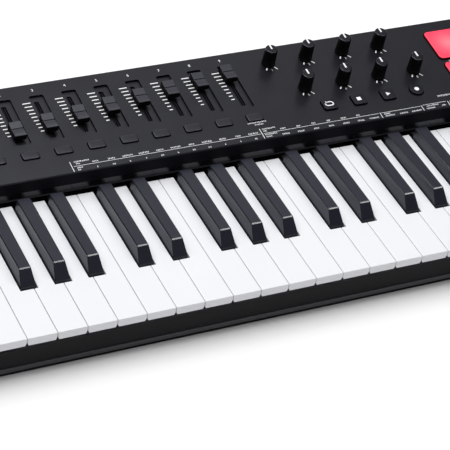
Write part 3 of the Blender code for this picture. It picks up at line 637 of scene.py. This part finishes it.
def button(name, node, x, y, w, d, r, top, body, material=M_BUTTON, n_round=0, soft=1.0):
    m = panel_frame(x, y)
    steps = [(s * soft, top - h * soft) for s, h in ((0.06, 0.38), (0.20, 0.16), (0.42, 0.03), (0.75, 0.0))]
    steps = [(0.0, -9.0), (0.0, top - 0.62 * soft)] + steps
    rings = []
    for s, h in steps:
        if n_round:
            rings.append([(px, py, h) for px, py in circle(w / 2 - s, n_round)])
        else:
            rings.append([(px, py, h) for px, py in rounded_rect(w - 2 * s, d - 2 * s, max(r - s, 0.35), 6)])
    bm = loft(rings)
    # side walls below the top rounding get the near-black material as painted shade
    for f in bm.faces:
        if f.calc_center_median().z < (top - 0.60 * soft) * MM:
            f.material_index = 1
    return piece(name, moved(bm, m), (material, M_PAINTED_SHADE), body, replaces=(node,), smooth=50, origin=m)


for i in range(9):
    fader_cap(i)
    n = "fader_button_%d" % (i + 1)
    button("push_" + n, n, FADER_X1 + 1.0 + i * FADER_PITCH, 47.3, 13.8, 8.0, 1.6, 1.3, n)


# ------------------------------------------------------------------- knobs
def knob(k):
    nm = "knob_%d" % k
    j = JOINTS[nm + "_turn"]
    p = Vector(j["pos_m"]) / MM
    m = panel_frame(p.x, p.y)
    r = 5.7
    prof = [(3.0, -11.0), (3.0, 0.5), (r + 0.15, 0.5), (r + 0.3, 0.75), (r + 0.28, 1.5), (r + 0.05, 2.0),
            (r + 0.04, 2.2), (r - 0.26, 15.5), (r - 0.27, 15.7), (r - 0.33, 16.1), (r - 0.50, 16.4),
            (r - 0.80, 16.57), (r - 1.15, 16.6), (1.0, 16.60)]
    bm = lathe(prof, 144, m, 36, 0.24, (2.1, 15.6), 0.5)
    for f in bm.faces:
        h = (m.inverted() @ f.calc_center_median()).z / MM
        if h > 15.6:
            f.material_index = 1
    ob = piece("control_" + nm, bm, (M_KNOB, M_KNOB_TOP), nm, replaces=(nm,), smooth=38, origin=m)
    # pointer: a raised white line from the centre over the rim to the rear
    pts = [(-0.74, -0.55), (0.74, -0.55), (0.74, 5.25), (-0.74, 5.25)]
    piece("pointer_" + nm, moved(prism_z(pts, 15.9, 16.82), m), M_INK, nm, 0.1, 1, origin=m)
    return p


knob_xy = [knob(k + 1) for k in range(8)]

# ------------------------------------------------------- transport and rocker
TR = (("loop_button", 105.5), ("stop_button", 133.8), ("play_button", 162.0))
for nm, tx in TR:
    button("push_" + nm, nm, tx, 47.6, 12.2, 12.2, 2.2, 1.7, nm, M_TRANSPORT, soft=0.45)
button("push_record_button", "record_button", 190.2, 47.6, 12.6, 12.6, 0, 1.7, "record_button", M_TRANSPORT, 64, soft=0.45)


def icon(name, body, x, y, parts):
    m = panel_frame(x, y) @ Matrix.Translation((0, 0, 1.7 * MM))
    piece(name, merged([moved(prism_z(p, -0.02, 0.05), m) for p in parts]), M_INK, body,
          origin=panel_frame(x, y))


def ring_parts(w, d, r, t, skip=()):
    """Outline of a rounded rectangle drawn as short quads."""
    outer, inner = rounded_rect(w, d, r, 5), rounded_rect(w - 2 * t, d - 2 * t, max(r - t, 0.2), 5)
    n = len(outer)
    return [[outer[i], outer[(i + 1) % n], inner[(i + 1) % n], inner[i]] for i in range(n) if i not in skip]


icon("mark_loop", "loop_button", 105.5, 47.6,
     ring_parts(8.2, 5.2, 2.5, 1.0, skip=(8, 9)) + [[(-2.7, 0.9), (-0.5, 2.1), (-2.7, 3.4)]])
icon("mark_stop", "stop_button", 133.8, 47.6, [[(-1.9, -1.9), (1.9, -1.9), (1.9, 1.9), (-1.9, 1.9)]])
icon("mark_play", "play_button", 162.0, 47.6, [[(-1.6, -2.1), (2.3, 0.0), (-1.6, 2.1)]])
icon("mark_record", "record_button", 190.2, 47.6, [circle(2.1, 24)])

m = panel_frame(-330.0, 48.0)
rock = []
for y in (-4.5, 4.5):
    rock.append([(px, y, h) for px, h in
                 [(-15.0, -2.0), (-11.0, -5.0), (11.0, -5.0), (15.0, -2.0), (15.0, 2.0), (14.2, 2.6), (0.0, 1.9),
                  (-14.2, 2.6), (-15.0, 2.0)]])
piece("rocker_octave", moved(loft(rock), m), M_BUTTON, "octave_rocker", 0.35, 3, 30, ("octave_rocker",),
      origin=m)
tilt = math.atan2(0.7, 14.2)
marks = []
for sx in (-1, 1):
    mm_ = m @ Matrix.Translation((sx * 10.0 * MM, 0, (1.9 + 0.7 * 10 / 14.2) * MM)) @ Matrix.Rotation(-sx * tilt, 4, "Y")
    marks.append(moved(box(-1.5, 1.5, -0.3, 0.3, -0.02, 0.06), mm_))
    if sx > 0:
        marks.append(moved(box(-0.3, 0.3, -1.5, 1.5, -0.02, 0.055), mm_))
piece("mark_octave", merged(marks), M_INK, "octave_rocker", origin=m)


# --------------------------------------------------------------------- pads
mat_m = panel_frame(308.1, 75.5)
sheet = moved(prism_z(rounded_rect(156.4, 77.6, 3.0, 4), -6.35, -4.45), mat_m)
piece("pad_sheet", sheet, M_PAD_SIDE, "pad_mat", 0.3, 2, replaces=("pad_mat",), origin=mat_m)
k = 0
for row, y in enumerate((95.4, 55.6)):
    for c in range(4):
        k += 1
        m = panel_frame(248.1 + 40.0 * c, y)
        rings = []
        for s, h in ((0.0, -4.6), (0.0, 0.9), (0.10, 1.35), (0.35, 1.7), (0.75, 1.92), (1.4, 2.0), (5.0, 2.06),
                     (10.0, 2.1)):
            rings.append([(px, py, h) for px, py in rounded_rect(35.2 - 2 * s, 35.2 - 2 * s, max(4.2 - s * 0.7, 1.0), 8)])
        bm = loft(rings)
        for f in bm.faces:
            h = f.calc_center_median().z / MM
            f.material_index = 2 if h < 1.3 else (1 if h < 1.75 else 0)
        piece("pad_%d" % k, moved(bm, m), (M_PAD, M_PAD_RIM, M_PAD_SIDE), "pad_mat", smooth=60, origin=m)


# ------------------------------------------------------------------- wheels
def thumb_wheel(node, x):
    n, half, r0 = 360, 6.5, 18.5
    c = Vector((x, -62.0, 26.8))
    rings = []
    for s, dr in ((-1, 0.9), (-0.985, 0.45), (-0.93, 0.14), (-0.84, 0.0), (0.84, 0.0), (0.93, 0.14), (0.985, 0.45),
                  (1, 0.9)):
        ring = []
        for i in range(n):
            a = 2 * math.pi * i / n          # 0 at the crown
            off = (a + math.pi) % (2 * math.pi) - math.pi
            d = abs(math.degrees(off))
            rr = r0 - dr
            if abs(s) < 0.9:
                if d > 9 and (i % 6) in (0, 1, 2):
                    rr -= 0.28
            if d < 7.5:
                rr -= 1.35 * (0.5 + 0.5 * math.cos(math.pi * d / 7.5))
            ring.append((c.x + s * half, c.y - rr * math.sin(off), c.z + rr * math.cos(off)))
        rings.append(ring)
    o = Matrix.Translation(c * MM)
    piece("thumb_" + node, loft(rings), M_WHEEL, node, replaces=(node,), smooth=42, origin=o)
    bar = box(x - 4.6, x + 4.6, -62.0 - 0.45, -62.0 + 0.45, 26.8 + 17.05, 26.8 + 17.24)
    piece("mark_" + node, bar, M_INK, node, origin=o)


thumb_wheel("pitch_wheel", -370.0)
thumb_wheel("mod_wheel", -330.0)

# ---------------------------------------------------------- display, encoder
m = panel_frame(-330.0, 94.0)
rings = [[(px, py, h) for px, py in rounded_rect(46.0 - 2 * s, 22.0 - 2 * s, 1.4, 5)]
         for s, h in ((0.0, -3.2), (0.0, -0.55), (0.12, -0.35), (0.4, -0.22))]
piece("display_glass_plate", moved(loft(rings), m), M_WINDOW, "case", replaces=("display_window",),
      smooth=50, origin=m)
seg = [moved(text_bm("120", 9.5), m @ Matrix.Translation((4.0 * MM, 0.6 * MM, -0.20 * MM)))]
for q in range(5):
    seg.append(moved(box(-18.4, -14.2 + 0.0, -6.2 + q * 2.7, -6.2 + q * 2.7 + 1.5, -0.23, -0.17), m))
piece("display_segments", merged(seg), M_LED, "case", smooth=30, origin=m)

m = panel_frame(-268.0, 94.0)
prof = [(3.0, -11.0), (3.0, 0.5), (8.0, 0.5), (8.0, 1.3), (7.95, 1.5), (7.75, 10.4), (7.7, 10.7), (7.45, 11.3),
        (6.9, 11.7), (6.2, 11.8), (5.6, 11.55), (1.0, 11.4)]
piece("control_encoder", lathe(prof, 160, m, 40, 0.25, (1.4, 10.5), 0.5), M_KNOB, "encoder_knob",
      replaces=("encoder_knob",), smooth=38, origin=m)

# -------------------------------------------------------------- rear fittings
m = Matrix.Translation((290 * MM, REAR_Y * MM, 24 * MM))
sw = [[(px, py, z) for px, py in [(-6.5, -5.0), (6.5, -5.0), (6.5, -0.4), (6.0, 0.2), (0.0, -1.4), (-6.0, 0.2),
                                  (-6.5, -0.4)]] for z in (-4.5, 4.5)]
hub = Matrix.Translation((290 * MM, (REAR_Y - 3.0) * MM, 24 * MM))
piece("rocker_power", moved(loft(sw), m), M_CAP, "power_switch", 0.3, 3, 25, ("power_switch",), origin=hub)
mk = [moved(box(-0.25, 0.25, -0.02, 0.06, -1.2, 1.2), m @ Matrix.Translation((3.4 * MM, -0.52 * MM, 0)) @
            Matrix.Rotation(0.26, 4, "Z"))]
mk += [moved(loft([[(px, yy, pz) for px, pz in q] for yy in (-0.02, 0.06)]),
             m @ Matrix.Translation((-3.4 * MM, -0.52 * MM, 0)) @ Matrix.Rotation(-0.26, 4, "Z"))
       for q in ring_parts(2.4, 2.4, 1.19, 0.42)]
piece("mark_power", merged(mk), M_INK, "power_switch", origin=hub)

bm = node_mesh("usb_socket")
for f in bm.faces:
    c = f.calc_center_median() / MM
    inside = abs(c.x - 330) < 4.75 and abs(c.z - 24) < 4.35 and c.y < REAR_Y - 0.05
    f.material_index = 1 if inside or c.y < REAR_Y - 2.4 else 0
piece("socket_shell", bm, (M_RAIL, M_STEEL), "case", 0.25, 2, 40, ("usb_socket",)).data.shade_flat()
piece("socket_tongue", box(330 - 2.8, 330 + 2.8, 115.3, 125.2, 24 - 1.6, 24 + 1.0), M_SILICONE, "case", 0.2, 2)
parts = []
for sx in (-20.0, 20.0):
    for sz in (14.0, 32.0):
        o = Matrix.Translation(((330 + sx) * MM, REAR_Y * MM, sz * MM)) @ Matrix.Rotation(math.radians(-90), 4, "X")
        parts.append(lathe([(2.2, -0.4), (2.2, 0.25), (1.9, 0.55), (1.1, 0.7)], 28, o))
        for r in (10, 100):
            parts.append(moved(box(-1.1, 1.1, -0.22, 0.22, 0.62, 0.74), o @ Matrix.Rotation(math.radians(r), 4, "Z")))
piece("socket_screws", merged(parts), M_SCREW, "case", smooth=35)

# ------------------------------------------------------- parts inside the case
for node, mat in (("keybed_chassis", M_CHASSIS), ("key_contact_strip", M_SILICONE), ("main_board", M_BOARD)):
    ob = NODES[node]
    ob.data.materials.clear()
    ob.data.materials.append(mat)


# ------------------------------------------------------------------ printing
white = []
for i in range(9):
    xf = -217.272 + FADER_PITCH * (i + 1)
    # scale beside each slot: long at the top, short at the bottom
    for t in range(9):
        length = 6.9 - t * 0.50
        white.append(ink_bar(0, 0, length, 0.92, 0, (xf - 6.3 - length / 2, 104.8 - t * 4.1)))
    white.append(moved(text_bm(str(i + 1), 4.1, 0.08), panel_frame(xf + 0.1, 118.6)))
for n, p in enumerate(knob_xy):
    for ang, ln in ((-122.0, 2.9), (-58.0, 3.5)):
        a = math.radians(ang)
        rr = 6.5 + ln / 2
        white.append(ink_bar(rr * math.cos(a), rr * math.sin(a), ln, 1.05, ang, (p.x, p.y)))
    white.append(moved(text_bm(str(n + 1), 3.4, 0.08), panel_frame(p.x, p.y) @ Matrix.Translation((0, -8.7 * MM, 0))))


def label(x, y, width, height=1.5):
    """Abstract print standing for a word: a row of small stroke signs."""
    rnd = random.Random(int(round(x * 17 + y * 31)))
    count = max(1, int(round(width / 1.28)))
    for q in range(count):
        cx = x - width / 2 + (q + 0.5) * width / count
        stem = rnd.choice((-0.32, 0.0, 0.32))
        white.append(ink_bar(0, 0, 0.34, height, 0, (cx + stem, y)))
        for lev in rnd.sample((-0.5, 0.0, 0.5), 2):
            white.append(ink_bar(0, 0, 0.92, 0.32, 0, (cx, y + lev * (height - 0.32))))


def section_bar(x, y0, y1):
    white.append(ink_bar(0, 0, 0.5, y1 - y0, 0, (x, (y0 + y1) / 2)))


def section(x0, x1, first, pitch, count, upper, lower, seed):
    """One legend group: a rule from bar to bar with signs above and below it."""
    white.append(ink_bar(0, 0, x1 - x0 - 3.0, 0.32, 0, ((x0 + x1) / 2, 28.5)))
    rnd = random.Random(seed)
    for n in range(count):
        label(first + pitch * n, 30.5, rnd.choice(upper), 1.5)
        label(first + pitch * n, 24.3, rnd.choice(lower), 1.5)


section_bar(-132.3, 23.0, 34.0)
label(-122.6, 33.2, 13.0, 1.4)
label(-126.4, 31.0, 3.8, 1.3)
label(-126.2, 26.6, 5.0, 1.3)
label(-127.4, 24.2, 2.6, 1.4)
section(-132.3, 34.3, -112.0, 13.9, 11, (5.2, 6.4, 9.0), (1.3, 2.6), 3)
section_bar(34.3, 23.0, 34.4)
label(42.3, 33.4, 12.0, 1.4)
label(38.2, 31.1, 3.4, 1.3)
label(41.8, 26.9, 11.0, 1.3)
label(39.2, 24.5, 5.6, 1.3)
section(34.3, 145.0, 54.3, 14.1, 6, (3.8, 5.0), (5.2, 6.4), 5)
label(137.5, 24.5, 9.5, 1.4)
section_bar(145.0, 22.9, 29.1)
label(151.0, 26.7, 6.0, 1.3)
label(152.6, 24.4, 9.0, 1.3)
label(166.0, 24.4, 7.6, 1.4)
label(178.4, 24.4, 9.8, 1.4)
white.append(ink_bar(0, 0, 38.0, 0.32, 0, (165.1, 28.5)))
section_bar(185.2, 22.9, 29.1)
label(195.5, 27.4, 12.0, 1.3)
label(192.6, 24.6, 8.6, 1.3)
label(205.6, 25.4, 3.8, 1.4)
white.append(ink_bar(0, 0, 23.0, 0.32, 0, (198.2, 29.2)))
section_bar(211.2, 22.9, 29.1)
for x0, x1, count in ((211.2, 298.0, 5), (298.0, 384.0, 5)):
    section(x0, x1, x0 + 16.0, 14.1, count, (3.8, 5.0, 6.4), (2.6, 5.2), int(x0))
    label(x0 + 5.5, 26.4, 6.5, 1.3)
section_bar(298.0, 22.9, 34.0)
# captions under the last fader button and at the left of the pads
label(35.6, 42.0, 17.0, 1.3)
label(36.4, 39.5, 8.0, 1.3)
label(222.5, 36.5, 35.0, 1.7)
for c in range(4):
    label(240.6 + 40.0 * c, 75.6, 5.0, 1.5)
# generic captions by the left-hand controls
for x, y, w in ((-330.0, 109.0, 16.0), (-268.0, 108.0, 12.0), (-341.0, 56.0, 6.0), (-319.0, 56.0, 6.0)):
    label(x, y, w, 1.5)
piece("panel_printing", merged(white), M_INK, "case", smooth=30)


# ----------------------------------------------------------- floor and lights
def stage_plane():
    bm = bmesh.new()
    bmesh.ops.create_grid(bm, x_segments=2, y_segments=2, size=6.0)
    me = bpy.data.meshes.new("floor")
    bm.to_mesh(me)
    bm.free()
    ob = bpy.data.objects.new("floor", me)
    bpy.context.scene.collection.objects.link(ob)
    mat = bpy.data.materials.new("floor_paper")
    nt, b = nodes_of(mat)
    tc = nt.nodes.new("ShaderNodeTexCoord")
    nz = nt.nodes.new("ShaderNodeTexNoise")
    nz.inputs["Scale"].default_value = 3.0
    nt.links.new(tc.outputs["Object"], nz.inputs["Vector"])
    cr = nt.nodes.new("ShaderNodeValToRGB")
    cr.color_ramp.elements[0].color = (0.93, 0.93, 0.93, 1)
    cr.color_ramp.elements[1].color = (0.95, 0.95, 0.95, 1)
    nt.links.new(nz.outputs["Fac"], cr.inputs["Fac"])
    nt.links.new(cr.outputs["Color"], b.inputs["Base Color"])
    b.inputs["Roughness"].default_value = 0.9
    b.inputs["Specular IOR Level"].default_value = 0.1
    me.materials.append(mat)
    return ob


stage_plane()


def area_light(name, direction, distance, size, power, colour=(1, 1, 1), target=(0.02, 0.0, 0.03), size_y=None):
    d = Vector(direction).normalized()
    li = bpy.data.lights.new(name, "AREA")
    li.shape = "RECTANGLE" if size_y else "SQUARE"
    li.size = size
    if size_y:
        li.size_y = size_y
    li.energy = power
    li.color = colour
    ob = bpy.data.objects.new(name, li)
    ob.location = Vector(target) + d * distance
    ob.rotation_euler = (-d).to_track_quat("-Z", "Y").to_euler()
    bpy.context.scene.collection.objects.link(ob)
    return ob


def compass(azimuth, elevation):
    """Direction towards a light: azimuth from +Y towards +X, elevation above the floor, in degrees."""
    az, el = math.radians(azimuth), math.radians(elevation)
    return (math.sin(az) * math.cos(el), math.cos(az) * math.cos(el), math.sin(el))


area_light("top_soft", compass(0, 75), 3.0, 1.2, 37.0)
area_light("back_left_soft", compass(-30, 50), 3.0, 1.2, 23.0)
area_light("left_high", compass(-90, 60), 3.0, 1.2, 19.0)
area_light("front_soft", compass(-165, 45), 3.0, 1.2, 8.0)
area_light("right_strip", compass(93, 65), 3.0, 0.36, 24.0, size_y=1.6)
area_light("rear_card", compass(27, 51), 3.0, 1.6, 2.1)
area_light("rear_low_card", compass(25, 22), 3.0, 1.2, 5.2)

world = bpy.data.worlds.new("studio")
bpy.context.scene.world = world
world.use_nodes = True
world.node_tree.nodes["Background"].inputs["Color"].default_value = (1.0, 1.0, 1.0, 1)
world.node_tree.nodes["Background"].inputs["Strength"].default_value = 0.14

# -------------------------------------------------------------------- camera
AZ, EL, ROLL = math.radians(-30.55), math.radians(38.907), math.radians(9.402)
back = Vector((math.sin(AZ) * math.cos(EL), -math.cos(AZ) * math.cos(EL), math.sin(EL)))
cx_ = Vector((0, 0, 1)).cross(back).normalized()
cy_ = back.cross(cx_)
ax = math.cos(ROLL) * cx_ + math.sin(ROLL) * cy_
ay = -math.sin(ROLL) * cx_ + math.cos(ROLL) * cy_
cam_data = bpy.data.cameras.new("camera")
cam = bpy.data.objects.new("camera", cam_data)
bpy.context.scene.collection.objects.link(cam)
rot = Matrix((ax, ay, back)).transposed().to_4x4()
cam.matrix_world = Matrix.Translation((-0.638784, -1.076845, 0.999755)) @ rot
cam_data.sensor_width = 36.0
cam_data.sensor_fit = "HORIZONTAL"
cam_data.lens = 156.64
cam_data.clip_start = 0.05
cam_data.clip_end = 50.0
bpy.context.scene.camera = cam
bpy.context.scene.view_settings.view_transform = "Standard"
bpy.context.scene.view_settings.look = "None"
